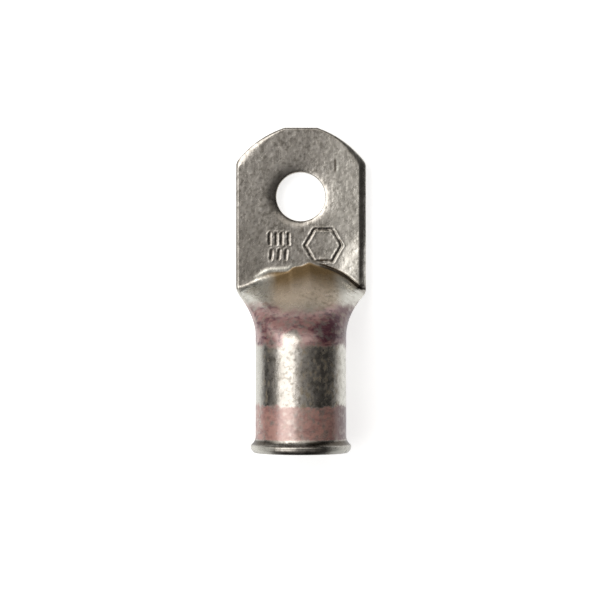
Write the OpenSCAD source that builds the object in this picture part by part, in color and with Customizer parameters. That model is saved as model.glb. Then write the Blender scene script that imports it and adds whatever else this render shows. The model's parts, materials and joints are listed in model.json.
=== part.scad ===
// Tubular cable lug: one copper tube, bell-mouthed at the cable end, drawn down through a flared
// shoulder and pressed flat into a palm with one stud hole.
// The stud hole's axis is Z, through the origin on the palm's underside. +Y points to the nose.

/* [Tube] */
// Outside diameter of the barrel that takes the cable
barrel_od = 13; // [9:0.1:18]
// Wall thickness of the tube, and half the thickness of the palm
tube_wall = 1.3; // [0.9:0.05:1.7]
// Length of the straight round barrel
barrel_len = 11.7; // [6:0.1:30]

/* [Bell mouth] */
// Radius that the mouth's outside curls round
mouth_bend_r = 5.6; // [2:0.1:8]
// Angle that the mouth has turned outwards at its end
mouth_angle = 31; // [10:1:45]
// Rounding of the mouth's two edges
mouth_edge_r = 0.2; // [0.05:0.05:0.4]

/* [Palm] */
// Width of the palm across its folded edges
palm_w = 18.9; // [15:0.1:26]
// Width of the soft corners that run along the folded edges
fold_roll_w = 0.9; // [0.3:0.1:1.2]
// Height of those soft corners
fold_roll_h = 0.6; // [0.2:0.1:0.8]
// Distance from the stud hole's centre to the nose
nose_reach = 10; // [7:0.1:16]
// Width of the nose's straight cut
nose_flat_w = 4.7; // [2:0.1:8]
// Distance from the stud hole's centre to where the sheared flanks meet the folded edges
flank_reach = 4.8; // [2:0.1:6]
// Radius of the sheared flanks
flank_r = 14.4; // [12:0.1:30]
// Distance from the stud hole's centre to the ridge where the shoulder starts
heel_reach = 10.5; // [8:0.1:20]
// Width of the soft top corner that shearing drew along the nose and its flanks
nose_roll_w = 0.8; // [0.2:0.1:1.2]
// Height of that corner
nose_roll_h = 0.45; // [0.1:0.05:0.8]

/* [Stud hole] */
// Diameter of the stud hole
stud_hole_d = 7.1; // [4:0.1:9]
// Width of the soft edge that the punch drew in round the hole
punch_roll_w = 2; // [0.4:0.1:2.4]
// Depth of that edge
punch_roll_depth = 0.45; // [0.1:0.05:0.6]

/* [Shoulder] */
// Length of the shoulder between the ridge and the barrel
shoulder_len = 11.2; // [8:0.1:16]
// How far the ridge falls back towards the barrel at the palm's edges
ridge_arch = 2.4; // [0:0.1:4]
// Share of the half width over which the ridge runs straight
ridge_straight = 0.5; // [0.2:0.05:0.8]

/* [Seam] */
// Height of the hairline between the two pressed layers on the sheared nose
seam_gap = 0.08; // [0.04:0.01:0.15]
// Depth of that hairline
seam_depth = 0.15; // [0.05:0.05:0.4]

/* [Hidden] */

barrel_r = barrel_od / 2;
socket_r = barrel_r - tube_wall;
palm_t = 2 * tube_wall;
heel_y = -heel_reach;
barrel_y = heel_y - shoulder_len;
mouth_gain = mouth_bend_r * (1 - cos(mouth_angle));
mouth_r = barrel_r + mouth_gain - mouth_edge_r * (sin(mouth_angle) + cos(mouth_angle) - 1);
// The palm's underside and the mouth's lowest edge lie on one level
axis_z = mouth_r;

// The shoulder's skin: steps round one section, those on each quarter of it, and rows along it
ring_steps = 80;
quarter_steps = ring_steps / 4;
edge_steps = 5;
skin_rows = 20;
// The skin runs on inside the barrel by this length and this much below its surface
skin_tuck = 1;
skin_inset = 0.02;
// Ease of the slope at its foot and at the barrel, as shares of its length: mid line, then edges
foot_ease = [0.1, 0.25];
top_ease = [0.4, 0.75];
// What is left open where the two walls come together
closed_gap = 0.1;
// How far the folded edges stand out between their corners
fold_crown = 0.05;
// The inside starts this much later, so that the sloping wall keeps its thickness
inside_lag = tube_wall / 2;
cut_margin = 0.6;
arc_steps = 24;
copper_tin = [0.79, 0.76, 0.71];

$fn = 96;

function mix(a, b, share) = a + (b - a) * share;

// Steps from point k of a ring to the nearest of its two side points
function steps_from_side(k) =
    let (half = k % (ring_steps / 2))
    min(half, ring_steps / 2 - half);

// Point k of a pressed section, its middle at [0, 0]: a flat strip with slightly crowned sides and
// soft corners
function pressed_point(k, half_w, half_t) =
    let (
        j = steps_from_side(k),
        roll_h = min(fold_roll_h, half_t),
        turn = 90 * (min(j, edge_steps) - 1) / (edge_steps - 1),
        along = max(j - edge_steps, 0) / (quarter_steps - edge_steps),
        run = half_w - fold_crown - fold_roll_w,
        x = run * (1 - along) + fold_roll_w * cos(turn),
        z = half_t - roll_h + roll_h * sin(turn),
        angle = 360 * k / ring_steps
    )
    j == 0 ? [half_w * sign(cos(angle)), 0]
    : [x * sign(cos(angle)), z * sign(sin(angle))];

function round_point(k, r) = [r * cos(360 * k / ring_steps), r * sin(360 * k / ring_steps)];

// How far point k lies from the mid line: 0 in the middle, 1 at the edge
function offside(k) = abs(pressed_point(k, palm_w / 2, tube_wall)[0]) / (palm_w / 2);

function ridge_y(k) =
    heel_y - ridge_arch * max(0, offside(k) - ridge_straight) / (1 - ridge_straight);

// Rises from 0 to 1 with a straight middle, a curved foot and a curved top
function ramp(t, foot, top) =
    let (steepness = 2 / (2 - foot - top))
    t < foot ? steepness * t * t / (2 * foot)
    : t < 1 - top ? steepness * (t - foot / 2)
    : 1 - steepness * (1 - t) * (1 - t) / (2 * top);

// Point k at share t of the way from the ridge to the barrel, on a skin that is half_w by half_t
// where it is pressed and round with radius r at the barrel
function shoulder_point(k, t, half_w, half_t, r, lag) =
    let (
        across = offside(k),
        foot = mix(foot_ease[0], foot_ease[1], across * across),
        top = mix(top_ease[0], top_ease[1], across * across),
        share = ramp(t, foot, top),
        pressed = pressed_point(k, half_w, half_t) + [0, tube_wall],
        round_end = round_point(k, r) + [0, axis_z],
        section = mix(pressed, round_end, share),
        y = mix(ridge_y(k) - lag, barrel_y, t)
    )
    [section[0], y, section[1]];

function shoulder_row(t, half_w, half_t, r, lag) =
    [for (k = [0:ring_steps - 1]) shoulder_point(k, t, half_w, half_t, r, lag)];

function pressed_row(y, half_w, half_t) =
    [for (k = [0:ring_steps - 1])
        let (p = pressed_point(k, half_w, half_t))
        [p[0], y, p[1] + tube_wall]];

function round_row(y, r) =
    [for (k = [0:ring_steps - 1])
        let (p = round_point(k, r))
        [p[0], y, p[1] + axis_z]];

// A closed skin over rows of ring_steps points, each row further towards -Y than the one before
module skin(rows) {
    last = (len(rows) - 1) * ring_steps;
    sides = [
        for (row = [0:len(rows) - 2], k = [0:ring_steps - 1])
            let (
                next = (k + 1) % ring_steps,
                a = row * ring_steps + k,
                b = row * ring_steps + next,
                c = a + ring_steps,
                d = b + ring_steps
            )
            each [[a, d, b], [a, c, d]]
    ];
    // An end is closed by strips from each upper point to the lower one beneath it
    ends = [
        for (k = [0:ring_steps / 2 - 1])
            let (
                lower = (ring_steps - k) % ring_steps,
                lower_next = ring_steps - k - 1,
                tip = k == 0,
                tail = k == ring_steps / 2 - 1
            )
            each concat(
                tip ? [] : [[k, k + 1, lower], [k + last, lower + last, k + 1 + last]],
                tail ? [] : [[k + 1, lower_next, lower], [k + 1 + last, lower + last, lower_next + last]]
            )
    ];
    polyhedron(points = [for (row = rows) each row], faces = concat(sides, ends), convexity = 6);
}

// Palm and shoulder in one skin, from beyond the nose to inside the barrel
module pressed_blank() {
    skin(concat(
        [pressed_row(nose_reach + cut_margin, palm_w / 2, tube_wall)],
        [for (row = [0:skin_rows])
            shoulder_row(row / skin_rows, palm_w / 2, tube_wall, barrel_r - skin_inset, 0)],
        [round_row(barrel_y - skin_tuck, barrel_r - skin_inset)]
    ));
}

// The hollow of the shoulder, from where the walls close to inside the barrel
module shoulder_hollow() {
    half_w = palm_w / 2 - tube_wall;
    skin(concat(
        [for (row = [0:skin_rows])
            shoulder_row(row / skin_rows, half_w, closed_gap / 2, socket_r - skin_inset, inside_lag)],
        [round_row(barrel_y - skin_tuck, socket_r - skin_inset)]
    ));
}

// Centre of an arc of radius r from a to b, on the side away from the nose
function arc_centre(a, b, r) =
    let (
        mid = (a + b) / 2,
        half = norm(b - a) / 2,
        along = (b - a) / (2 * half),
        rise = sqrt(r * r - half * half)
    )
    mid + rise * [along[1], -along[0]];

// One sheared flank, from the nose's straight cut to just beyond the palm's edge
function flank(inset) =
    let (
        from = [nose_flat_w / 2, nose_reach],
        to = [palm_w / 2, flank_reach],
        centre = arc_centre(from, to, flank_r),
        start = atan2(from[1] - centre[1], from[0] - centre[0]),
        stop = acos((palm_w / 2 + cut_margin - centre[0]) / flank_r),
        r = flank_r - inset
    )
    [for (i = [0:arc_steps])
        centre + r * [cos(mix(start, stop, i / arc_steps)), sin(mix(start, stop, i / arc_steps))]];

// The palm's plan as it is sheared, wider than the palm and reaching back to back_y
module shear_plan(inset, back_y) {
    right = flank(inset);
    polygon(concat(
        right,
        [[palm_w / 2 + cut_margin, back_y], [-palm_w / 2 - cut_margin, back_y]],
        [for (i = [arc_steps:-1:0]) [-right[i][0], right[i][1]]]
    ));
}

// Section of a sheared edge: upright at reach, with the soft top corner that shearing drew
module sheared_section(reach) {
    polygon(concat(
        [[0, -cut_margin], [reach, -cut_margin]],
        [for (i = [0:6])
            let (a = 90 * i / 6)
            [reach - nose_roll_w * (1 - cos(a)), palm_t - nose_roll_h * (1 - sin(a))]],
        [[reach - nose_roll_w - cut_margin, palm_t + cut_margin], [0, palm_t + cut_margin]]
    ));
}

// What one round flank leaves of the palm
module flank_form() {
    translate(arc_centre([nose_flat_w / 2, nose_reach], [palm_w / 2, flank_reach], flank_r))
        rotate_extrude()
            sheared_section(flank_r);
}

// What shearing leaves: the nose between its flanks, and all that lies behind the stud hole
module sheared_form() {
    intersection() {
        flank_form();
        mirror([1, 0, 0])
            flank_form();
        translate([palm_w, 0, 0])
            rotate([90, 0, 270])
                linear_extrude(2 * palm_w)
                    mirror([1, 0])
                        sheared_section(nose_reach);
    }
    translate([-palm_w, barrel_y - 2 * skin_tuck, -cut_margin])
        cube([2 * palm_w, 2 * skin_tuck - barrel_y + cut_margin, 2 * axis_z + 2 * cut_margin]);
}

// The hairline round the sheared edges, where the two layers of tube meet
module nose_seam() {
    translate([0, 0, tube_wall - seam_gap / 2])
        linear_extrude(seam_gap)
            difference() {
                translate([0, seam_depth])
                    square([2 * palm_w, 2 * nose_reach], center = true);
                shear_plan(seam_depth, -2 * nose_reach);
            }
}

// The barrel and its bell mouth, solid, along -Y
module barrel_form() {
    corner = [barrel_r + mouth_gain, barrel_len + mouth_bend_r * sin(mouth_angle)];
    outward = [sin(mouth_angle), cos(mouth_angle)];
    inward = [-cos(mouth_angle), sin(mouth_angle)];
    curl_end = mouth_angle - mouth_edge_r / mouth_bend_r * 180 / PI;
    outer_edge = corner + (inward - outward) * mouth_edge_r;
    inner_edge = corner + inward * (tube_wall - mouth_edge_r) - outward * mouth_edge_r;
    translate([0, barrel_y, axis_z])
        rotate([90, 0, 0])
            rotate_extrude()
                polygon(concat(
                    [[0, 0], [barrel_r, 0]],
                    [for (i = [0:8])
                        let (a = curl_end * i / 8)
                        [barrel_r + mouth_bend_r * (1 - cos(a)), barrel_len + mouth_bend_r * sin(a)]],
                    [for (i = [0:4]) outer_edge + mouth_edge_r * (outward * sin(22.5 * i)
                        - inward * cos(22.5 * i))],
                    [for (i = [0:4]) inner_edge + mouth_edge_r * (outward * cos(22.5 * i)
                        + inward * sin(22.5 * i))],
                    [[0, inner_edge[1]]]
                ));
}

// The round socket and the inside of the bell mouth
module socket_cut() {
    inner_bend_r = mouth_bend_r + tube_wall;
    end_s = inner_bend_r * sin(mouth_angle);
    end_r = socket_r + inner_bend_r * (1 - cos(mouth_angle));
    translate([0, barrel_y, axis_z])
        rotate([90, 0, 0])
            rotate_extrude()
                polygon(concat(
                    [[0, 0], [socket_r, 0]],
                    [for (i = [0:10])
                        let (a = mouth_angle * i / 10)
                        [socket_r + inner_bend_r * (1 - cos(a)), barrel_len + inner_bend_r * sin(a)]],
                    [[end_r + sin(mouth_angle), barrel_len + end_s + cos(mouth_angle)],
                     [0, barrel_len + end_s + cos(mouth_angle)]]
                ));
}

// The stud hole with the soft edge left by the punch
module stud_hole_cut() {
    stud_r = stud_hole_d / 2;
    translate([0, 0, -1])
        cylinder(d = stud_hole_d, h = palm_t + 2);
    translate([0, 0, palm_t - punch_roll_depth])
        rotate_extrude()
            polygon(concat(
                [[0, 0]],
                [for (i = [0:8])
                    let (a = 90 * i / 8)
                    [stud_r + punch_roll_w * (1 - cos(a)), punch_roll_depth * sin(a)]],
                [[stud_r + punch_roll_w, 1], [0, 1]]
            ));
}

module cable_lug() {
    color(copper_tin)
        difference() {
            union() {
                intersection() {
                    pressed_blank();
                    sheared_form();
                }
                barrel_form();
            }
            shoulder_hollow();
            socket_cut();
            stud_hole_cut();
            nose_seam();
        }
}

cable_lug();
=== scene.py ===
"""The looks of a tubular cable lug: one tin-plated copper tube, flattened into a palm, with printed
colour bands. The mesh is built in millimetres from the frame's own sizes and scaled to metres."""

import json
import math

import bmesh
import bpy
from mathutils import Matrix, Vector, noise


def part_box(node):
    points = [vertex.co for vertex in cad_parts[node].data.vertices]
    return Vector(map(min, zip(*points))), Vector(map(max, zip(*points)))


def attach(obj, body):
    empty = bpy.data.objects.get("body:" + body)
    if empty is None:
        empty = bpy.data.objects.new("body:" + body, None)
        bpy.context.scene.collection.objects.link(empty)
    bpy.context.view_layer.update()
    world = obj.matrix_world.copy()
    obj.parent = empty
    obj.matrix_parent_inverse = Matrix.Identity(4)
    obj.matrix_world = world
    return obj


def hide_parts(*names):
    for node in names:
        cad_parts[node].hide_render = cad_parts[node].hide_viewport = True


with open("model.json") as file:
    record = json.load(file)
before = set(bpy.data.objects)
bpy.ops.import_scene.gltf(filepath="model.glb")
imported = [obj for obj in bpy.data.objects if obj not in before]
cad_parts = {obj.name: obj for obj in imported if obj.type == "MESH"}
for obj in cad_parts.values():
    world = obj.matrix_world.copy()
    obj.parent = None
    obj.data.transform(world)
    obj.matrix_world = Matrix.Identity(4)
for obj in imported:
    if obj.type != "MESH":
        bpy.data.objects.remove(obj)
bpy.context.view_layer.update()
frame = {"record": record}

MM = 0.001
NODE = "cable_lug"

# ---------------------------------------------------------------- sizes, in millimetres

mounts = {m["name"]: m for m in frame["record"]["mounts"]}
low, high = (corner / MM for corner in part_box(NODE))

STUD_R = mounts["stud_hole"]["dims"]["r_mm"]
SOCKET_R = mounts["cable_socket"]["dims"]["r_mm"]
AXIS_Z = mounts["cable_socket"]["pos_m"][2] / MM
HALF_W = high.x
NOSE_Y = high.y

WALL = 1.3
PALM_T = 2 * WALL
BARREL_R = SOCKET_R + WALL

# Plan of the palm
NOSE_FLAT = 4.7
FLANK_REACH = 4.8
FLANK_R = 14.4
SHOULDER_FILLET = 1.6
NOSE_FILLET = 0.8
CUT_Y = -7.5

# The sheared edge takes over from the fold this far before the side's corner, over this length
SHEAR_LEAD = 0.3
SHEAR_BLEND = 2.2

# Top corners of the palm's edges, as (width, height, fullness): the two folds came out uneven.
# Fullness is 0.55 for an elliptical corner and less for a flatter one.
WEST_FOLD = (0.4, 0.55, 0.45)
EAST_FOLD = (1.05, 0.7, 0.12)
WEST_FLANK = (1.5, 0.26, 0.5)
EAST_FLANK = (1.1, 0.72, 0.15)
NOSE_EDGE = (0.35, 0.3, 0.5)
FOLD_LOW_R = 0.9
SHEAR_LOW_R = 0.14
HOLE_LOW_R = 0.12

# The hairline between the two layers: depth at the nose and in the hole, and its section as
# (height from its middle, share of the depth). At the nose it lies low enough for the relief of the
# upper half to miss it.
NOSE_SEAM = 0.07
HOLE_SEAM = 0.06
NOSE_SEAM_Z = WALL - 0.05
SEAM_SECTION = ((0.05, 0), (0.02, 1), (-0.02, 1), (-0.05, 0))

# The ridge where the shoulder starts, as points across the palm, and the broad arch that it follows
RIDGE = [
    (-9.45, -12.85),
    (-8.2, -12.65),
    (-7.0, -12.1),
    (-5.9, -11.4),
    (-5.0, -10.95),
    (-4.1, -10.75),
    (-1.9, -10.6),
    (-1.2, -10.1),
    (0.1, -9.85),
    (1.2, -9.4),
    (2.1, -9.7),
    (4.4, -10.4),
    (6.3, -11.4),
    (8.5, -13.1),
    (9.45, -13.5),
]
RIDGE_MID_Y = -10.3
RIDGE_FALL = 2.9
BARREL_Y = -21.7

# The sides reach the barrel this much sooner than the crown does
EDGE_LEAD = 1.5

# Share of the slope that eases in at its foot and out at its top, at the middle and at the sides,
# and how much softer its foot is round one place to the west
FOOT_EASE = (0.05, 0.2)
TOP_EASE = (0.42, 0.88)
WEST_EASE = 0.15
WEST_EASE_X = -4.2
WEST_EASE_W = 2.0

# Bell mouth
STRAIGHT_END_Y = BARREL_Y - mounts["cable_socket"]["dims"]["length_mm"]
MOUTH_LEN = 3.55
BEND_R = 1.55
BEND_ANGLE = math.radians(62)
LIP_ROUND = 0.3
LIP_BULGE = 0.08

# Soft edge round the stud hole, as (width, depth): the punch went in a little aslant
WEST_ROLL = (2.3, 0.55)
EAST_ROLL = (3.0, 0.32)
SOUTH_ROLL_W = 1.3

# Lean of the palm's upper face: a fall to the east, a lift of its east side, and the widths over
# which they end round the hole and past the ridge. The rest of the palm's relief ends at the ridge,
# over one width to the west and another to the east.
CROSS_FALL = 0.03
EAST_LIFT = 0.46
HOLE_LEVEL_W = 1.4
LEAN_FADE = 3.0
RELIEF_FADE = (0.9, 0.5)

# Bulge by the east heel: its height, where it starts, how far it takes to rise, and how its start
# in x moves east with y, from its value at one y
HEEL_BULGE = 0.28
BULGE_START = (4.6, -4.5)
BULGE_RISE = (4.2, 4.0)
BULGE_SLANT = 0.35
BULGE_SLANT_Y = -10

# Low bead along the ridge's west half and sharp crease along its east half, as height, place past
# the ridge and width, and where each fades in and out in x
RIDGE_BEAD = (0.11, 0.05, 0.4)
BEAD_WEST = (-7.6, -4.6)
BEAD_EAST = (-0.8, -2.2)
EAST_CREASE = (0.2, -0.05, 0.2)
CREASE_WEST = (2.2, 3.6)

# Marks pressed into the palm, with lips beside them and dirt in them: plain strokes in two rows and a
# hexagon. Their depth wears by a share of itself.
MARK_DEPTH = 0.1
MARK_WEAR = 0.9
MARK_W = 0.19

# How far the strokes' edges wander and how wide the dirt is, in stroke widths, and a lip's height as
# a share of the depth with its place and width in stroke widths
MARK_WANDER = 0.5
MARK_DIRT_W = 1.3
MARK_LIP = (0.45, 1.7, 0.7)

# Where the marks lie. A row is its middle in y, its height, its strokes' slant and their places in x.
MARKS_TOP_Y = -4
MARKS_HALF_W = 7
TALLY_ROWS = (
    (-6.15, 1.5, 0.0, (-4.5, -3.55, -2.75, -1.75)),
    (-8.45, 1.25, 0.12, (-4.3, -3.2, -2.2)),
)
HEXAGON_CENTRE = Vector((3.3, -7.1))
HEXAGON_R = 2.65

# Steps of the mesh
FLAT_STEPS = 120
EDGE_STEPS = 22
PLATE_STEPS = 40
UNDER_STEPS = 10
HEEL_ROWS = 26
SHOULDER_ROWS = 64
BARREL_ROWS = 12
OUTER_BEND_STEPS = 20
LIP_STEPS = 6
LIP_FACE_STEPS = 12
INNER_BEND_STEPS = 14
SOCKET_ROWS = 6
HOLLOW_ROWS = 24


def mix(a, b, share):
    return a + (b - a) * share


def clamp(x, lo=0.0, hi=1.0):
    return max(lo, min(hi, x))


def smooth(x):
    x = clamp(x)
    return x * x * (3 - 2 * x)


def bell(x):
    return math.exp(-x * x)


# ---------------------------------------------------------------- plan of the palm


def arc_points(centre, r, start, stop, steps):
    """Points on an arc with their outward normals."""
    out = []
    for i in range(steps + 1):
        a = mix(start, stop, i / steps)
        n = Vector((math.cos(a), math.sin(a)))
        out.append((centre + r * n, n))
    return out


def palm_outline():
    """The palm's edge from the right heel round the nose to the left heel, as (point, normal, sheared,
    to_nose): sheared runs from 0 on the folded sides to 1 on the nose, to_nose from 0 to 1 on a flank."""
    a = Vector((NOSE_FLAT / 2, NOSE_Y))
    b = Vector((HALF_W, FLANK_REACH))
    chord = b - a
    mid = (a + b) / 2
    rise = math.sqrt(FLANK_R**2 - (chord.length / 2) ** 2)
    along = chord.normalized()
    centre = mid + rise * Vector((along.y, -along.x))

    side_c = Vector((HALF_W - SHOULDER_FILLET, 0))
    side_c.y = centre.y + math.sqrt((FLANK_R - SHOULDER_FILLET) ** 2 - (side_c.x - centre.x) ** 2)
    nose_c = Vector((0, NOSE_Y - NOSE_FILLET))
    nose_c.x = centre.x + math.sqrt((FLANK_R - NOSE_FILLET) ** 2 - (nose_c.y - centre.y) ** 2)
    side_angle = math.atan2(side_c.y - centre.y, side_c.x - centre.x)
    nose_angle = math.atan2(nose_c.y - centre.y, nose_c.x - centre.x)

    right = Vector((1, 0))
    up = Vector((0, 1))
    side_steps, fillet_steps, flank_steps, flat_steps = 40, 12, 50, 14
    half = [
        (Vector((HALF_W, mix(CUT_Y, side_c.y, i / side_steps))), right) for i in range(side_steps)
    ]
    half += arc_points(side_c, SHOULDER_FILLET, 0, side_angle, fillet_steps)
    half += arc_points(centre, FLANK_R, side_angle, nose_angle, flank_steps)[1:]
    half += arc_points(nose_c, NOSE_FILLET, nose_angle, math.pi / 2, fillet_steps // 2)[1:]
    half += [(Vector((nose_c.x * (1 - i / flat_steps), NOSE_Y)), up) for i in range(1, flat_steps + 1)]

    length = [0.0]
    for (p, _), (q, _) in zip(half, half[1:]):
        length.append(length[-1] + (q - p).length)
    corner = length[side_steps]
    flank = length[side_steps + fillet_steps + flank_steps] - corner
    out = []
    for (p, n), s in zip(half, length):
        sheared = smooth((s - corner + SHEAR_LEAD) / SHEAR_BLEND)
        to_nose = clamp((s - corner) / flank)
        out.append((p, n, sheared, to_nose))
    mirrored = [(Vector((-p.x, p.y)), Vector((-n.x, n.y)), k, t) for p, n, k, t in reversed(out[:-1])]
    return out + mirrored


def edge_profile(x, sheared, to_nose):
    """The palm's edge in section, from the top face to the underside, as (inset, height)."""
    east = smooth(x / NOSE_FLAT + 0.5)
    corner = []
    for west_fold, east_fold, west_flank, east_flank, nose in zip(
        WEST_FOLD, EAST_FOLD, WEST_FLANK, EAST_FLANK, NOSE_EDGE
    ):
        fold = mix(west_fold, east_fold, east)
        flank = mix(west_flank, east_flank, east)
        corner.append(mix(fold, mix(flank, nose, smooth(to_nose)), sheared))
    width, height, fullness = corner
    low_r = mix(FOLD_LOW_R, SHEAR_LOW_R, sheared)
    quarter = EDGE_STEPS // 2
    points = []
    for i in range(quarter + 1):
        t = i / quarter
        inset = width * (1 - t) ** 2 * (1 + 2 * t - 3 * fullness * t)
        drop = height * t**2 * (3 - 2 * t - 3 * fullness * (1 - t))
        points.append((inset, PALM_T - drop))
    for dz, depth in SEAM_SECTION:
        points.append((depth * NOSE_SEAM * sheared, NOSE_SEAM_Z + dz * sheared))
    for i in range(quarter + 1):
        a = math.pi / 2 * i / quarter
        points.append((low_r * (1 - math.cos(a)), low_r * (1 - math.sin(a))))
    return points


# ---------------------------------------------------------------- shoulder, barrel and mouth


def spline(points, x):
    """A smooth curve through (x, y) points, level at each end."""
    if x <= points[0][0]:
        return points[0][1]
    for i in range(len(points) - 1):
        (x0, y0), (x1, y1) = points[i : i + 2]
        if x > x1:
            continue
        before = points[i - 1] if i else points[0]
        after = points[i + 2] if i + 2 < len(points) else points[-1]
        t = (x - x0) / (x1 - x0)
        m0 = (y1 - before[1]) / (x1 - before[0]) * (x1 - x0)
        m1 = (after[1] - y0) / (after[0] - x0) * (x1 - x0)
        a = 2 * (y0 - y1) + m0 + m1
        b = 3 * (y1 - y0) - 2 * m0 - m1
        return ((a * t + b) * t + m0) * t + y0
    return points[-1][1]


def ridge_y(x):
    return spline(RIDGE, x)


def broad_ridge_y(x):
    """The ridge without its own bends, which die out down the slope."""
    return RIDGE_MID_Y - RIDGE_FALL * (x / HALF_W) ** 2


def ring_section():
    """Points round the pressed tube as (x, z, x of the closed hollow, angle on the barrel's circle):
    over the top to the west, down the west fold, back under, and up the east fold."""
    # Each fold opens into this much of the barrel's circle to either side of its middle
    half_span = math.radians(22.5)

    # The flats' share of the hollow's width; the folds have the rest
    flat_share = 0.93
    hollow = HALF_W - WALL
    east = edge_profile(HALF_W, 0, 0)
    west = edge_profile(-HALF_W, 0, 0)
    points = []

    def flat(start, stop, z, first_angle, inner_sign):
        for i in range(FLAT_STEPS + 1):
            share = i / FLAT_STEPS
            angle = mix(first_angle, first_angle + math.pi - 2 * half_span, share)
            inner = inner_sign * hollow * flat_share * (1 - 2 * share)
            points.append((mix(start, stop, share), z, inner, angle))

    def fold(profile, side, first_angle):
        last = len(profile) - 1
        for i in range(1, last):
            inset, z = profile[i]
            bow = flat_share + (1 - flat_share) * math.sin(math.pi * i / last)
            angle = mix(first_angle, first_angle + 2 * half_span, i / last)
            points.append((side * (HALF_W - inset), z, side * hollow * bow, angle))

    flat(HALF_W - east[0][0], west[0][0] - HALF_W, PALM_T, half_span, 1)
    fold(west, -1, math.pi - half_span)
    flat(west[-1][0] - HALF_W, HALF_W - east[-1][0], 0, math.pi + half_span, -1)
    fold(east[::-1], 1, -half_span)
    return points


def ramp(t, foot, top):
    """Rises from 0 to 1, easing in over the share foot and out over the share top."""
    steepness = 2 / (2 - foot - top)
    if t < foot:
        return steepness * t * t / (2 * foot)
    if t < 1 - top:
        return steepness * (t - foot / 2)
    return 1 - steepness * (1 - t) ** 2 / (2 * top)


def shoulder_ring(section, t, r, inside=False):
    """The tube's outer or inner skin at share t of the way from the ridge to the barrel."""
    out = []
    for x, z, hollow_x, angle in section:
        px, pz, lag = (hollow_x, WALL, WALL / 2) if inside else (x, z, 0)
        across = clamp(abs(px) / HALF_W)
        foot = mix(FOOT_EASE[0], FOOT_EASE[1], across**2)
        foot += WEST_EASE * bell((px - WEST_EASE_X) / WEST_EASE_W)
        top = mix(TOP_EASE[0], TOP_EASE[1], across**2)
        share = ramp(t, foot, top)
        cx = r * math.cos(angle)
        cz = AXIS_Z + r * math.sin(angle)
        broad = broad_ridge_y(px)
        end_y = BARREL_Y + EDGE_LEAD * across**2
        y = mix(broad - lag, end_y, t) + (ridge_y(px) - broad) * (1 - t) ** 5
        out.append(Vector((mix(px, cx, share), y, mix(pz, cz, share))))
    return out


def round_ring(section, y, r):
    return [Vector((r * math.cos(point[3]), y, AXIS_Z + r * math.sin(point[3]))) for point in section]


def mouth_profile():
    """(radius, distance past the straight barrel) over the flare, round the lip and back inside."""
    inner_r = BEND_R + WALL
    trim = LIP_ROUND / BEND_R
    start = MOUTH_LEN - inner_r * math.sin(BEND_ANGLE)

    def bend(tube_r, bend_r, a):
        return Vector((tube_r + bend_r * (1 - math.cos(a)), start + bend_r * math.sin(a)))

    points = []
    for i in range(OUTER_BEND_STEPS + 1):
        points.append(bend(BARREL_R, BEND_R, (BEND_ANGLE - trim) * i / OUTER_BEND_STEPS))

    # The cut end: two rounded edges with a slightly bulged face between them
    outward = Vector((math.sin(BEND_ANGLE), math.cos(BEND_ANGLE)))
    inward = Vector((-math.cos(BEND_ANGLE), math.sin(BEND_ANGLE)))
    corner = bend(BARREL_R, BEND_R, BEND_ANGLE)
    outer = corner + (inward - outward) * LIP_ROUND
    inner = corner + inward * (WALL - LIP_ROUND) - outward * LIP_ROUND
    for i in range(1, LIP_STEPS + 1):
        a = math.pi / 2 * i / LIP_STEPS
        points.append(outer + LIP_ROUND * (outward * math.sin(a) - inward * math.cos(a)))
    for i in range(1, LIP_FACE_STEPS):
        share = i / LIP_FACE_STEPS
        bulge = LIP_BULGE * math.sin(math.pi * share)
        points.append(outer.lerp(inner, share) + outward * (LIP_ROUND + bulge))
    for i in range(LIP_STEPS + 1):
        a = math.pi / 2 * i / LIP_STEPS
        points.append(inner + LIP_ROUND * (outward * math.cos(a) + inward * math.sin(a)))

    for i in range(INNER_BEND_STEPS + 1):
        points.append(bend(SOCKET_R, inner_r, (BEND_ANGLE - trim) * (1 - i / INNER_BEND_STEPS)))
    return points


# ---------------------------------------------------------------- relief of the palm's upper face


def smooth_between(x, start, stop):
    """Rises smoothly from 0 at start to 1 at stop."""
    return smooth((x - start) / (stop - start))


def distance_from_line(p, a, b):
    ab = b - a
    along = clamp((p - a).dot(ab) / ab.dot(ab))
    return (p - (a + ab * along)).length


def groove(distance):
    """A chisel's groove with the metal that it pushed up on both sides."""
    height, place, width = MARK_LIP
    return height * bell((distance - place) / width) - bell(distance)


def tally_marks():
    """Plain strokes in rows, as (start, end)."""
    marks = []
    for y, height, slant, spots in TALLY_ROWS:
        for x in spots:
            marks.append((Vector((x, y - height / 2)), Vector((x + slant, y + height / 2))))
    return marks


def hexagon_marks():
    corners = []
    for k in range(6):
        a = math.pi * k / 3
        corners.append(HEXAGON_CENTRE + HEXAGON_R * Vector((math.cos(a), math.sin(a))))
    return [(corners[k], corners[(k + 1) % 6]) for k in range(6)]


MARKS = tally_marks() + hexagon_marks()


def mark_distance(x, y):
    """Distance from the nearest stroke in stroke widths, a little uneven."""
    far_away = 9.0
    if y > MARKS_TOP_Y or abs(x) > MARKS_HALF_W:
        return far_away
    nearest = min(distance_from_line(Vector((x, y)), a, b) for a, b in MARKS)
    return nearest / MARK_W + MARK_WANDER * noise.noise(Vector((3 * x, 3 * y, 0)))


def palm_lean(x, y):
    """How far the whole palm stands above a level plane: pressed a little aslant and dished."""
    rim = smooth((math.hypot(x, y) - STUD_R) / HOLE_LEVEL_W)
    return rim * (EAST_LIFT * (max(x, 0) / HALF_W) ** 2 - CROSS_FALL * x)


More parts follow.
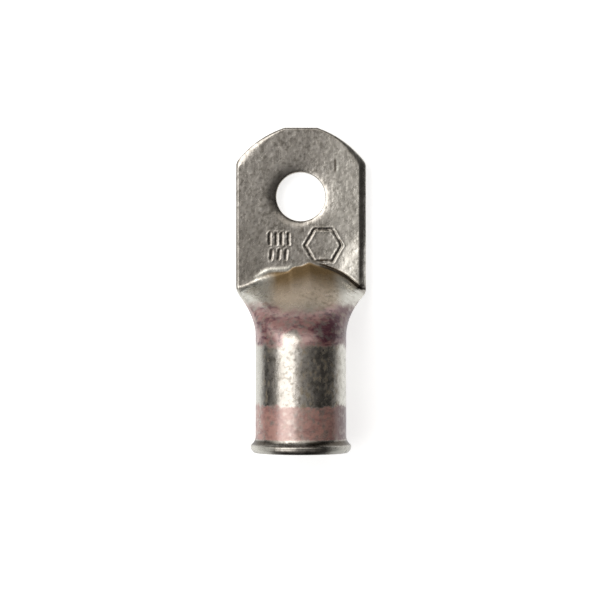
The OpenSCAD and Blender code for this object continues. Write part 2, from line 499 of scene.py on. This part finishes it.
def palm_relief(x, y):
    """The bulge by the east heel and the marks."""
    aslant = x - BULGE_START[0] - BULGE_SLANT * (y - BULGE_SLANT_Y)
    behind = BULGE_START[1] - y
    bulge = HEEL_BULGE * smooth(aslant / BULGE_RISE[0]) * smooth(behind / BULGE_RISE[1])
    wear = 1 + MARK_WEAR * noise.noise(Vector((1.1 * x, 1.1 * y, 4)))
    return bulge + MARK_DEPTH * wear * groove(mark_distance(x, y))


def past_ridge(point):
    """How far the point lies towards the nose from the ridge."""
    return point.y - ridge_y(point.x)


def ridge_relief(x, past):
    """The low bead that the press left along the ridge to the west, and the crease to the east."""
    height, place, width = RIDGE_BEAD
    west = smooth_between(x, *BEAD_WEST) * smooth_between(x, *BEAD_EAST)
    bead = height * west * bell((past - place) / width)
    depth, place, width = EAST_CREASE
    return bead - depth * smooth_between(x, *CREASE_WEST) * bell((past - place) / width)


def with_relief(point):
    """The point moved by the relief, which fades out down the edges and past the ridge."""
    past = past_ridge(point)
    if point.z <= WALL or past < -LEAN_FADE:
        return point
    relief = ridge_relief(point.x, past) + palm_lean(point.x, point.y) * smooth(past / LEAN_FADE + 1)
    if past > 0:
        fade = mix(RELIEF_FADE[0], RELIEF_FADE[1], smooth(point.x / 4))
        relief += palm_relief(point.x, point.y) * smooth(past / fade)
    share = smooth((point.z - WALL) / WALL)
    return Vector((point.x, point.y, point.z + share * relief))


# ---------------------------------------------------------------- the mesh


class Skin:
    """Collects grids of points and welds them into one mesh."""

    def __init__(self):
        self.points = []
        self.outside = []
        self.faces = []

    def grid(self, rows, closed=False, outer_rows=None):
        """Joins rows of equal length; closed also joins each row's end to its start. The rows after
        the first outer_rows lie inside the tube."""
        first = len(self.points)
        width = len(rows[0])
        for i, row in enumerate(rows):
            self.points.extend(row)
            self.outside.extend([0.0 if outer_rows and i >= outer_rows else 1.0] * width)
        for r in range(len(rows) - 1):
            for c in range(width if closed else width - 1):
                d = (c + 1) % width
                a = first + r * width
                b = a + width
                self.faces.append((a + c, a + d, b + d, b + c))

    def build(self, name):
        mesh = bpy.data.meshes.new(name)
        mesh.from_pydata([with_relief(p) * MM for p in self.points], [], self.faces)
        mesh.attributes.new("outside", "FLOAT", "POINT").data.foreach_set("value", self.outside)
        work = bmesh.new()
        work.from_mesh(mesh)
        bmesh.ops.remove_doubles(work, verts=work.verts, dist=2e-7)
        bmesh.ops.dissolve_degenerate(work, edges=work.edges, dist=1e-8)
        bmesh.ops.recalc_face_normals(work, faces=work.faces)
        for face in work.faces:
            face.smooth = True
        work.to_mesh(mesh)
        work.free()
        places = [vertex.co / MM for vertex in mesh.vertices]
        past = mesh.attributes.new("past_ridge", "FLOAT", "POINT")
        past.data.foreach_set("value", [past_ridge(place) for place in places])
        marked = mesh.attributes.new("marked", "FLOAT", "POINT")
        nearness = [bell(mark_distance(place.x, place.y) / MARK_DIRT_W) for place in places]
        marked.data.foreach_set("value", nearness)
        return mesh


def hole_profile(direction):
    """The stud hole's wall as (distance from the hole's axis, height), top face to underside."""
    east = smooth(direction.x / 2 + 0.5)
    width, depth = (mix(a, b, east) for a, b in zip(WEST_ROLL, EAST_ROLL))
    width = mix(width, SOUTH_ROLL_W, smooth(-direction.y))
    steps = 18
    low_steps = 4
    points = []
    for i in range(steps + 1):
        a = math.pi / 2 * i / steps
        points.append((STUD_R + width * (1 - math.sin(a)), PALM_T - depth * (1 - math.cos(a))))
    for dz, share in SEAM_SECTION:
        points.append((STUD_R + HOLE_SEAM * share, WALL + dz))
    for i in range(low_steps + 1):
        a = math.pi / 2 * i / low_steps
        points.append((STUD_R + HOLE_LOW_R * (1 - math.cos(a)), HOLE_LOW_R * (1 - math.sin(a))))
    return points


def plate_line(top_xy, low_xy):
    """From the top face's outer end, through the hole, to the underside's outer end."""
    direction = top_xy.normalized()
    hole = [Vector((direction.x * r, direction.y * r, z)) for r, z in hole_profile(direction)]
    top = Vector((top_xy.x, top_xy.y, PALM_T))
    low_end = Vector((low_xy.x, low_xy.y, 0))
    line = [top.lerp(hole[0], i / PLATE_STEPS) for i in range(PLATE_STEPS)]
    line += hole
    line += [hole[-1].lerp(low_end, i / UNDER_STEPS) for i in range(1, UNDER_STEPS + 1)]
    return line


def nose_lines():
    """The palm's edges from the right heel round the nose to the left, and the lines that run from
    each edge over the top, down the hole's wall and back under."""
    edges, plates = [], []
    for point, normal, sheared, to_nose in palm_outline():
        edge = [
            Vector((point.x - normal.x * inset, point.y - normal.y * inset, z))
            for inset, z in edge_profile(point.x, sheared, to_nose)
        ]
        edges.append(edge)
        plates.append(plate_line(edge[0].xy, edge[-1].xy))
    return edges, plates


def heel_lines(first_ring):
    """The same lines across the palm's heel, from where the rings begin."""
    under = FLAT_STEPS + len(edge_profile(HALF_W, 0, 0)) - 1
    lines = []
    for i in range(FLAT_STEPS + 1):
        over, below = first_ring[FLAT_STEPS - i], first_ring[under + i]
        lines.append(plate_line(Vector((over.x, CUT_Y)), Vector((below.x, CUT_Y))))
    return lines


def tube_rings(section, first_ring):
    """Rings along the heel, shoulder, barrel and mouth and back inside, and how many are outside."""
    rings = []
    for i in range(HEEL_ROWS):
        rings.append([Vector((p.x, mix(CUT_Y, p.y, i / HEEL_ROWS), p.z)) for p in first_ring])
    for i in range(SHOULDER_ROWS + 1):
        # Closer together near the ridge
        rings.append(shoulder_ring(section, (i / SHOULDER_ROWS) ** 1.3, BARREL_R))
    for i in range(1, BARREL_ROWS):
        rings.append(round_ring(section, mix(BARREL_Y, STRAIGHT_END_Y, i / BARREL_ROWS), BARREL_R))
    for r, s in mouth_profile():
        rings.append(round_ring(section, STRAIGHT_END_Y - s, r))
    outer_rows = len(rings) - INNER_BEND_STEPS - 1
    for i in range(1, SOCKET_ROWS):
        rings.append(round_ring(section, mix(STRAIGHT_END_Y, BARREL_Y, i / SOCKET_ROWS), SOCKET_R))
    for i in range(HOLLOW_ROWS + 1):
        rings.append(shoulder_ring(section, 1 - i / HOLLOW_ROWS, SOCKET_R, inside=True))
    return rings, outer_rows


def lug_mesh():
    skin = Skin()
    edges, plates = nose_lines()
    skin.grid(edges)
    section = ring_section()
    first_ring = shoulder_ring(section, 0, BARREL_R)
    skin.grid(plates + heel_lines(first_ring))
    rings, outer_rows = tube_rings(section, first_ring)
    skin.grid(rings, closed=True, outer_rows=outer_rows)
    return skin.build(NODE + "_skin")


# ---------------------------------------------------------------- materials


class Graph:
    """A short way to write node trees."""

    def __init__(self, tree):
        self.tree = tree

    def node(self, kind, **settings):
        node = self.tree.nodes.new(kind)
        for name, value in settings.items():
            setattr(node, name, value)
        return node

    def feed(self, socket, value):
        if isinstance(value, bpy.types.NodeSocket):
            self.tree.links.new(value, socket)
        else:
            socket.default_value = value

    def math(self, operation, *values, clamped=False):
        node = self.node("ShaderNodeMath", operation=operation, use_clamp=clamped)
        for socket, value in zip(node.inputs, values):
            self.feed(socket, value)
        return node.outputs[0]

    def noise(self, vector, scale, detail=2.0, roughness=0.5, seed=0.0):
        node = self.node("ShaderNodeTexNoise", noise_dimensions="4D")
        self.feed(node.inputs["Vector"], vector)
        node.inputs["Scale"].default_value = scale
        node.inputs["Detail"].default_value = detail
        node.inputs["Roughness"].default_value = roughness
        node.inputs["W"].default_value = seed
        return node.outputs["Fac"]

    def scaled(self, vector, factors):
        node = self.node("ShaderNodeVectorMath", operation="MULTIPLY")
        self.feed(node.inputs[0], vector)
        node.inputs[1].default_value = factors
        return node.outputs[0]

    def attribute(self, name):
        return self.node("ShaderNodeAttribute", attribute_name=name).outputs["Fac"]

    def times(self, product, *factors):
        for factor in factors:
            product = self.math("MULTIPLY", product, factor)
        return product

    def off(self, value, middle):
        """How far value is from middle."""
        return self.math("ABSOLUTE", self.math("SUBTRACT", value, middle))

    def squared(self, value, middle, half):
        """0 at middle and 1 at half to either side of it, growing as a square."""
        return self.math("POWER", self.math("DIVIDE", self.math("SUBTRACT", value, middle), half), 2.0)

    def span(self, value, start, full, fading, end):
        """Rises from 0 at start to 1 at full, and falls from 1 at fading to 0 at end."""
        return self.times(self.step(value, start, full), self.step(value, end, fading))

    def step(self, value, start, stop, low_value=0.0, high_value=1.0):
        """Rises smoothly from low_value at start to high_value at stop."""
        node = self.node("ShaderNodeMapRange", interpolation_type="SMOOTHSTEP")
        for socket, number in zip(node.inputs, (value, start, stop, low_value, high_value)):
            self.feed(socket, number)
        return node.outputs[0]

    def blend(self, share, a, b):
        node = self.node("ShaderNodeMix", data_type="RGBA")
        self.feed(node.inputs["Factor"], share)
        sockets = [socket for socket in node.inputs if socket.type == "RGBA"]
        self.feed(sockets[0], a)
        self.feed(sockets[1], b)
        return next(socket for socket in node.outputs if socket.type == "RGBA")

    def between(self, share, a, b):
        node = self.node("ShaderNodeMix", data_type="FLOAT")
        self.feed(node.inputs["Factor"], share)
        sockets = [socket for socket in node.inputs if socket.type == "VALUE"][1:]
        self.feed(sockets[0], a)
        self.feed(sockets[1], b)
        return node.outputs[0]


def new_material(name):
    material = bpy.data.materials.new(name)
    material.use_nodes = True
    return material, Graph(material.node_tree)


TIN = (0.66, 0.62, 0.565, 1)
TIN_DARK = (0.4, 0.37, 0.325, 1)
TIN_BRIGHT = (0.82, 0.785, 0.73, 1)
# Pale tin, used only for painted highlights and painted reflections
TIN_PAINTED_LIGHT = (0.9, 0.88, 0.8, 1)
# Tarnish darkened by painted shade, for just past the ridge
SHADED_TARNISH = (0.3, 0.2, 0.095, 1)
TAN = (0.75, 0.62, 0.48, 1)
# Dark brown for dirt in the marks and for painted shade lines
DIRT_AND_SHADE = (0.1, 0.08, 0.06, 1)
OXIDE = (0.42, 0.35, 0.25, 1)
UPPER_INK = (0.55, 0.265, 0.24, 1)
LOWER_INK = (0.63, 0.33, 0.275, 1)
INK_DARK = (0.13, 0.035, 0.055, 1)

# The bands along the barrel in y: bare, fully inked, still fully inked, bare again
UPPER_BAND = (-14.9, -16.5, -21.1, -21.9)
LOWER_BAND = (-29.9, -30.3, -34.7, -35.0)
EDGE_WANDER = 3.0

# A patch of the upper band that is worn bare and the pool of dark ink beside it, as x and y
BARE_PATCH = (-1.3, -21.2)
BARE_HALF = (1.7, 2.3)
INK_POOL = (4.1, -19.2)
POOL_R = 2.2

# The scratch north-east of the hole: its length in y, faint at both ends, and the x of its painted shaded
# side and of its painted lit side
SCRATCH = (5.9, 5.1, 3.9, 3.1)
SCRATCH_SHADE_X = 4.95
SCRATCH_LIT_X = 5.3

# The barrel's highlight runs along this line, a little west of its crown
HIGHLIGHT_LINE_X = -1.6

# Height of the fine grain, in metres like every length that the shader takes
GRAIN_HEIGHT = 0.00007


class Places:
    """What the parts of the material share: places in millimetres, masks and noises."""

    def __init__(self, g):
        texture = g.node("ShaderNodeTexCoord")
        self.spot = g.scaled(texture.outputs["Object"], (1 / MM, 1 / MM, 1 / MM))
        axes = g.node("ShaderNodeSeparateXYZ")
        g.feed(axes.inputs[0], self.spot)
        self.x, self.y, self.z = axes.outputs
        self.past = g.attribute("past_ridge")
        self.outside = g.attribute("outside")
        self.marked = g.attribute("marked")
        self.top = g.step(self.z, 1.5, 2.2)
        self.grain = g.noise(self.spot, 1.0, 2.0, 0.55, 1.0)
        self.specks = g.noise(self.spot, 1.7, 1.5, 0.5, 7.0)
        self.cloud = g.noise(self.spot, 0.4, 2.0, 0.5, 3.0)


def bare_tin(g, at):
    """The plate's colour with dark and bright specks and larger dull patches."""
    plate = g.blend(g.step(at.specks, 0.46, 0.68), TIN, TIN_DARK)
    bright = g.step(g.noise(at.spot, 1.5, 2.0, 0.5, 11.0), 0.52, 0.74)
    plate = g.blend(g.times(bright, 0.8), plate, TIN_BRIGHT)
    return g.blend(g.step(at.cloud, 0.4, 0.7, 0.0, 0.5), plate, TIN_DARK)


def palm_painted_light(g, at, plate):
    """Painted light on the palm: a painted highlight along the ridge's west half, painted shade over the
    west heel, painted light over the east side, and a scratch drawn as a painted shaded side beside a
    painted lit side.
    """
    # Painted highlight along the west half of the ridge
    ridge_highlight = g.times(g.span(at.past, -0.6, -0.25, 0.3, 0.6), g.span(at.x, -7.6, -5.0, -2.0, 0.0), at.top)
    plate = g.blend(ridge_highlight, plate, TIN_PAINTED_LIGHT)

    on_palm = g.step(at.past, 0.2, 0.8)
    # Painted shade over the palm's west heel
    dull = g.times(g.step(at.x, -3.0, -6.5), g.step(at.y, -1.5, -6.0), on_palm)
    plate = g.blend(g.times(dull, 0.45), plate, TIN_DARK)
    # Painted light over the palm's east side
    plate = g.blend(g.times(g.step(at.x, 1.5, 6.5), on_palm, 0.3), plate, TIN_PAINTED_LIGHT)

    along = g.span(at.y, *SCRATCH)
    # The scratch is drawn as a painted shade line beside a painted highlight line
    for line_x, colour in ((SCRATCH_SHADE_X, DIRT_AND_SHADE), (SCRATCH_LIT_X, TIN_PAINTED_LIGHT)):
        line = g.step(g.off(at.x, line_x), 0.22, 0.1)
        plate = g.blend(g.times(line, along, at.top, 0.8), plate, colour)
    return plate


def shoulder_tarnish_and_shade(g, at, plate):
    """Warm tarnish past the ridge, darkened to brown near the ridge by painted shade, and sides lightened
    by a painted reflection. Returns the plate's colour and how much tarnish and painted shade there is."""
    crease = g.span(at.past, -8.6, -4.4, -0.35, 0.0)
    middle = g.step(g.off(at.x, 0.6), 7.4, 4.0)
    tarnish_and_shade = g.times(crease, middle, at.outside, g.step(at.cloud, 0.2, 0.5, 0.7, 1.0), at.top)
    # Tarnish, with painted shade making it dark brown within a few millimetres of the ridge
    plate = g.blend(tarnish_and_shade, plate, g.blend(g.step(at.past, -1.2, -4.2), SHADED_TARNISH, TAN))

    # Painted reflection: the shoulder's sides lightened near the ridge
    sides = g.step(g.off(at.x, 0.4), 3.6, 6.4)
    sheen_reach = g.times(g.step(at.past, -0.2, -1.0), g.step(at.y, -17.2, -15.4))
    return g.blend(g.times(sides, sheen_reach), plate, TIN_PAINTED_LIGHT), tarnish_and_shade


def dirt_and_crease_shade(g, at, plate):
    """Dirt in the marks, and painted shade in the sharp part of the crease."""
    plate = g.blend(g.times(at.marked, at.top, 0.7), plate, DIRT_AND_SHADE)
    # Painted shade along the sharp east part of the crease
    crease = g.span(at.past, -0.5, -0.22, 0.08, 0.26)
    return g.blend(g.times(crease, at.top, g.span(at.x, 1.8, 4.0, 8.6, 9.2)), plate, DIRT_AND_SHADE)


def barrel_oxide_and_sheen(g, at, plate):
    """Brown specks of oxide behind the palm, fewer along the strip where the highlight falls, and sides
    lightened by a painted reflection. Returns the plate's colour and how much oxide there is."""
    behind = g.span(at.y, -10.5, -14.0, -34.6, -35.0)
    beside = g.step(g.off(at.x, -2.2), 1.2, 2.6, 0.1, 1.0)
    specks = g.noise(g.scaled(at.spot, (1.3, 0.9, 1.3)), 1.2, 3.0, 0.6, 71.0)
    oxide = g.times(g.step(specks, 0.47, 0.66), behind, beside, at.outside)
    flank = g.step(g.off(at.x, 0.0), 5.0, 5.9)
    plate = g.blend(g.times(oxide, g.between(flank, 0.8, 0.2)), plate, OXIDE)
    # Painted reflection of the white table on the barrel's sides
    flank_sheen = g.times(flank, behind, g.step(at.y, -19.0, -22.0), at.outside, 0.8)
    return g.blend(flank_sheen, plate, TIN_PAINTED_LIGHT), oxide


def mouth_painted_light(g, at, plate):
    """A painted shade line round the root of the mouth, left out where the highlight runs, and painted
    light making the lip's sides pale and less metallic. Returns the plate's colour and where that pale
    rim is."""
    # Painted shade: a dark line round the flare's root
    root = g.times(g.span(at.y, -34.85, -35.15, -35.5, -35.85), g.step(g.off(at.x, HIGHLIGHT_LINE_X), 1.4, 3.6))
    plate = g.blend(g.times(root, at.outside, 0.9), plate, DIRT_AND_SHADE)
    # Painted light: the lip's sides made pale and less metallic, its middle left plain
    rim = g.times(g.step(at.y, -35.6, -35.95), g.step(g.off(at.x, 0.0), 3.4, 4.8), at.outside)
    return g.blend(rim, plate, TIN_PAINTED_LIGHT), rim


def ink_bands(g, at):
    """Two printed bands with worn, uneven edges, as (cover, share of the upper band)."""
    wander = g.math("SUBTRACT", g.noise(at.spot, 0.5, 4.0, 0.65, 21.0), 0.5)
    shifted = g.math("ADD", at.y, g.times(wander, EDGE_WANDER))
    dip = g.step(g.off(at.x, 0.0), 6.0, 1.0)
    start, full, fading, end = UPPER_BAND
    upper = g.times(g.step(g.math("ADD", shifted, dip), start, full), g.step(shifted, end, fading))
    start, full, fading, end = LOWER_BAND
    lower = g.times(g.step(shifted, start, full), g.step(at.y, end, fading))

    gaps = g.step(g.noise(at.spot, 1.3, 3.0, 0.6, 41.0), 0.32, 0.56, 0.4, 1.0)
    across = g.squared(at.x, BARE_PATCH[0], BARE_HALF[0])
    along = g.squared(at.y, BARE_PATCH[1], BARE_HALF[1])
    rub = g.times(g.step(g.math("ADD", across, wander), 1.2, 0.0), lower, 0.3)
    patch = g.math("ADD", g.math("ADD", across, along), g.times(wander, 2.0))
    rub = g.math("MAXIMUM", rub, g.times(g.step(patch, 1.1, 0.5), 0.9))
    bands = g.times(g.math("MAXIMUM", upper, lower), g.step(at.outside, 0.5, 1.0))
    return g.times(bands, gaps, g.math("SUBTRACT", 1.0, rub)), upper


def dark_ink_and_shade(g, at, upper):
    """How dark the ink is: it ran together in streaks, flecks and one pool, has fewer streaks along the
    highlight's line as a painted highlight, and is darkened along the east side as painted shade.
    """
    streaks = g.noise(g.scaled(at.spot, (0.5, 1.35, 0.5)), 0.8, 4.0, 0.65, 31.0)
    from_pool = g.math("ADD", g.squared(at.x, INK_POOL[0], POOL_R), g.squared(at.y, INK_POOL[1], POOL_R))
    pool = g.step(from_pool, 1.6, 0.1, 0.0, 0.16)
    dark = g.times(g.step(g.math("ADD", streaks, pool), 0.46, 0.66), g.between(upper, 0.55, 1.0))
    # Painted highlight: fewer dark streaks along the highlight's line
    dark = g.times(dark, g.step(g.off(at.x, HIGHLIGHT_LINE_X), 0.5, 3.0, 0.45, 1.0))
    flecks = g.step(g.noise(at.spot, 1.3, 2.0, 0.6, 61.0), 0.48, 0.64, 0.0, 0.75)
    dark = g.math("MAXIMUM", dark, g.times(flecks, g.between(upper, 0.45, 1.0)))
    # Painted shade: the ink darkened along the barrel's east side
    return g.math("MAXIMUM", dark, g.step(at.x, 4.2, 5.8, 0.0, 0.75))


def tin_material():
    """Dull tin plate with a fine grain, worn in places and with painted light and shade, under two bands
    of half clear ink.
    """
    material, g = new_material("tinned_copper")
    shader = material.node_tree.nodes["Principled BSDF"]
    at = Places(g)

    plate = palm_painted_light(g, at, bare_tin(g, at))
    plate, tarnish_and_shade = shoulder_tarnish_and_shade(g, at, plate)
    plate = dirt_and_crease_shade(g, at, plate)
    plate, oxide = barrel_oxide_and_sheen(g, at, plate)
    plate, rim = mouth_painted_light(g, at, plate)
    cover, upper = ink_bands(g, at)
    dark = dark_ink_and_shade(g, at, upper)
    ink = g.blend(dark, g.blend(upper, LOWER_INK, UPPER_INK), INK_DARK)
    g.feed(shader.inputs["Base Color"], g.blend(cover, plate, ink))

    metal = g.between(rim, g.between(tarnish_and_shade, g.between(oxide, 1.0, 0.6), 0.45), 0.5)
    g.feed(shader.inputs["Metallic"], g.between(cover, metal, g.between(upper, 0.18, 0.3)))
    gloss = g.between(dark, g.between(upper, 0.6, 0.95), 0.35)
    g.feed(shader.inputs["Coat Weight"], g.times(cover, gloss))
    shader.inputs["Coat IOR"].default_value = 3.0
    shader.inputs["Coat Roughness"].default_value = 0.27
    rough = g.math("ADD", g.times(at.grain, 0.22), 0.17)
    g.feed(shader.inputs["Roughness"], g.math("ADD", rough, g.times(cover, 0.06)))

    drawn = g.noise(g.scaled(at.spot, (2.2, 0.35, 2.2)), 1.0, 1.0, 0.5, 5.0)
    relief = g.math("ADD", g.times(at.grain, 0.8), g.times(drawn, 0.2))
    relief = g.math("ADD", relief, g.times(at.specks, 0.4))
    bump = g.node("ShaderNodeBump")
    bump.inputs["Distance"].default_value = GRAIN_HEIGHT
    g.feed(bump.inputs["Strength"], g.step(at.y, -12.0, -20.0, 1.0, 0.6))
    g.feed(bump.inputs["Height"], relief)
    g.feed(shader.inputs["Normal"], bump.outputs["Normal"])
    g.feed(shader.inputs["Coat Normal"], bump.outputs["Normal"])
    return material


lug = bpy.data.objects.new("lug_body", lug_mesh())
bpy.context.scene.collection.objects.link(lug)
lug.data.materials.append(tin_material())
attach(lug, "root")
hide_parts(NODE)


# ---------------------------------------------------------------- floor, lights and camera

# The lug's middle in y, in metres
MIDDLE_Y = -0.015

# The white table: its own glow for the camera, how bright the metal sees it close by, and how far
# from a place on the ridge that has fallen to about a third. To the north it stays bright for a
# while first.
FLOOR_GLOW = 0.72
FLOOR_NEAR = 1.0
FADE_START_Y = -13
FADE_EAST = 90.0
FADE_WEST = 34.0
FADE_SOUTH = 31.0
FADE_NORTH = 45.0
NORTH_CLEAR = 22.0

# The table and the room darken to the south in a wedge, whose sides have this slope
SOUTH_WEDGE = 0.9

# Brightness of the room round the lug's long axis, as (degrees from overhead, east positive; value),
# and the slightly warm colours of the room and of the glow on its north side
ROOM_TINT = (1.0, 0.965, 0.93)
NORTH_TINT = (1.0, 0.96, 0.9)
ROOM = [
    (-90, 0.1),
    (-68, 0.14),
    (-57, 0.45),
    (-20, 0.6),
    (-10, 0.45),
    (0, 0.28),
    (9, 0.22),
    (24, 0.13),
    (42, 0.05),
    (70, 0.03),
    (90, 0.09),
]


def table_seen_by_metal(g):
    """How bright the metal sees each place of the table: darker with distance."""
    spot = g.node("ShaderNodeNewGeometry")
    axes = g.node("ShaderNodeSeparateXYZ")
    g.feed(axes.inputs[0], g.scaled(spot.outputs["Position"], (1 / MM, 1 / MM, 1 / MM)))
    east = axes.outputs[0]
    north = g.math("SUBTRACT", axes.outputs[1], FADE_START_Y)
    aside = g.times(g.off(east, 0.0), SOUTH_WEDGE)
    south = g.math("MINIMUM", g.math("ADD", north, aside), 0.0)
    west = g.math("MINIMUM", east, 0.0)
    across = g.math("MAXIMUM", g.math("DIVIDE", east, FADE_EAST), g.squared(west, 0.0, FADE_WEST))
    beyond = g.math("DIVIDE", g.math("SUBTRACT", north, NORTH_CLEAR), FADE_NORTH)
    along = g.math("MAXIMUM", beyond, g.squared(south, 0.0, FADE_SOUTH))
    far = g.math("MAXIMUM", across, along)
    return g.times(g.math("EXPONENT", g.times(far, -1.0)), FLOOR_NEAR)


def table_material():
    """White for the camera, with its own glow, and only a glow for the metal's reflections."""
    material, g = new_material("white_table")
    tree = material.node_tree
    shader = tree.nodes["Principled BSDF"]
    shader.inputs["Base Color"].default_value = (0.9, 0.9, 0.9, 1)
    shader.inputs["Roughness"].default_value = 0.9
    paths = g.node("ShaderNodeLightPath")
    glow = g.node("ShaderNodeEmission")
    g.feed(glow.inputs["Strength"], g.times(paths.outputs["Is Camera Ray"], FLOOR_GLOW))
    lit = g.node("ShaderNodeAddShader")
    g.feed(lit.inputs[0], shader.outputs["BSDF"])
    g.feed(lit.inputs[1], glow.outputs["Emission"])
    mirrored = g.node("ShaderNodeEmission")
    g.feed(mirrored.inputs["Strength"], table_seen_by_metal(g))
    choice = g.node("ShaderNodeMixShader")
    g.feed(choice.inputs[0], paths.outputs["Is Glossy Ray"])
    g.feed(choice.inputs[1], lit.outputs["Shader"])
    g.feed(choice.inputs[2], mirrored.outputs["Emission"])
    g.feed(tree.nodes["Material Output"].inputs["Surface"], choice.outputs["Shader"])
    return material


def add_floor():
    """A white table just under the lug, which takes its shadow."""
    bpy.ops.mesh.primitive_plane_add(size=3, location=(0, MIDDLE_Y, -0.00002))
    floor = bpy.context.object
    floor.name = "floor"
    floor.data.materials.append(table_material())


def add_lamp(name, size, watts, place, aim=(0, MIDDLE_Y, 0.005)):
    lamp = bpy.data.lights.new(name, "AREA")
    lamp.shape = "RECTANGLE"
    lamp.size, lamp.size_y = size
    lamp.energy = watts
    holder = bpy.data.objects.new(name, lamp)
    bpy.context.scene.collection.objects.link(holder)
    holder.location = place
    holder.rotation_mode = "QUATERNION"
    holder.rotation_quaternion = (Vector(aim) - Vector(place)).to_track_quat("-Z", "Y")


def polar(azimuth, tilt, distance):
    """A place seen from the lug at tilt degrees from straight up, towards azimuth (0 = +X, 90 = +Y)."""
    a, t = math.radians(azimuth), math.radians(tilt)
    return (
        distance * math.sin(t) * math.cos(a),
        distance * math.sin(t) * math.sin(a) + MIDDLE_Y,
        distance * math.cos(t),
    )


def room_colour(g, x, z):
    """The room's colour by the angle round the lug's long axis."""
    turn = g.math("DIVIDE", g.math("ARCTAN2", x, z), math.pi)
    ramp_node = g.node("ShaderNodeValToRGB")
    g.feed(ramp_node.inputs[0], g.math("ADD", turn, 0.5))
    stops = ramp_node.color_ramp.elements
    for i, (angle, value) in enumerate(ROOM):
        place = angle / 180 + 0.5
        stop = stops[i] if i < 2 else stops.new(place)
        stop.position = place
        stop.color = (*(value * tint for tint in ROOM_TINT), 1)
    return ramp_node.outputs["Color"]


def north_glow(g, x, y):
    """A glow half way up the north side, but not to the north-east."""
    north = g.times(g.step(y, 0.15, 0.5), g.step(y, 0.9, 0.65, 0.1, 1.0), g.step(x, 0.62, 0.4), 0.5)
    colour = g.node("ShaderNodeCombineColor")
    for socket, tint in zip(colour.inputs, NORTH_TINT):
        g.feed(socket, g.times(north, tint))
    return colour.outputs[0]


def add_world():
    """A dim studio: darker to the east and south, with a soft glow overhead and to the north."""
    world = bpy.data.worlds.new("studio")
    world.use_nodes = True
    bpy.context.scene.world = world
    g = Graph(world.node_tree)
    axes = g.node("ShaderNodeSeparateXYZ")
    g.feed(axes.inputs[0], g.node("ShaderNodeTexCoord").outputs["Generated"])
    x, y, z = axes.outputs

    total = g.node("ShaderNodeMix", data_type="RGBA", blend_type="ADD")
    total.inputs["Factor"].default_value = 1
    sockets = [socket for socket in total.inputs if socket.type == "RGBA"]
    g.feed(sockets[0], room_colour(g, x, z))
    g.feed(sockets[1], north_glow(g, x, y))
    background = world.node_tree.nodes["Background"]
    result = next(socket for socket in total.outputs if socket.type == "RGBA")
    g.feed(background.inputs["Color"], result)
    south = g.step(g.math("ADD", y, g.times(g.off(x, 0.0), SOUTH_WEDGE)), -0.6, 0.0, 0.2, 1.0)
    g.feed(background.inputs["Strength"], g.times(south, g.step(y, 0.9, 0.62, 0.25, 1.0)))


def add_camera():
    camera = bpy.data.cameras.new("camera")
    holder = bpy.data.objects.new("camera", camera)
    bpy.context.scene.collection.objects.link(holder)
    height = 0.4
    middle_height = 0.005
    view_width = 0.0864
    camera.sensor_width = 36
    camera.lens = camera.sensor_width * (height - middle_height) / view_width
    camera.clip_start = 0.01
    holder.location = (-0.00013, MIDDLE_Y, height)
    bpy.context.scene.camera = holder


add_floor()
add_lamp("west_softbox", (0.60, 0.33), 0.88, polar(168, 36, 0.42))
add_world()
add_camera()
bpy.context.scene.view_settings.view_transform = "Standard"
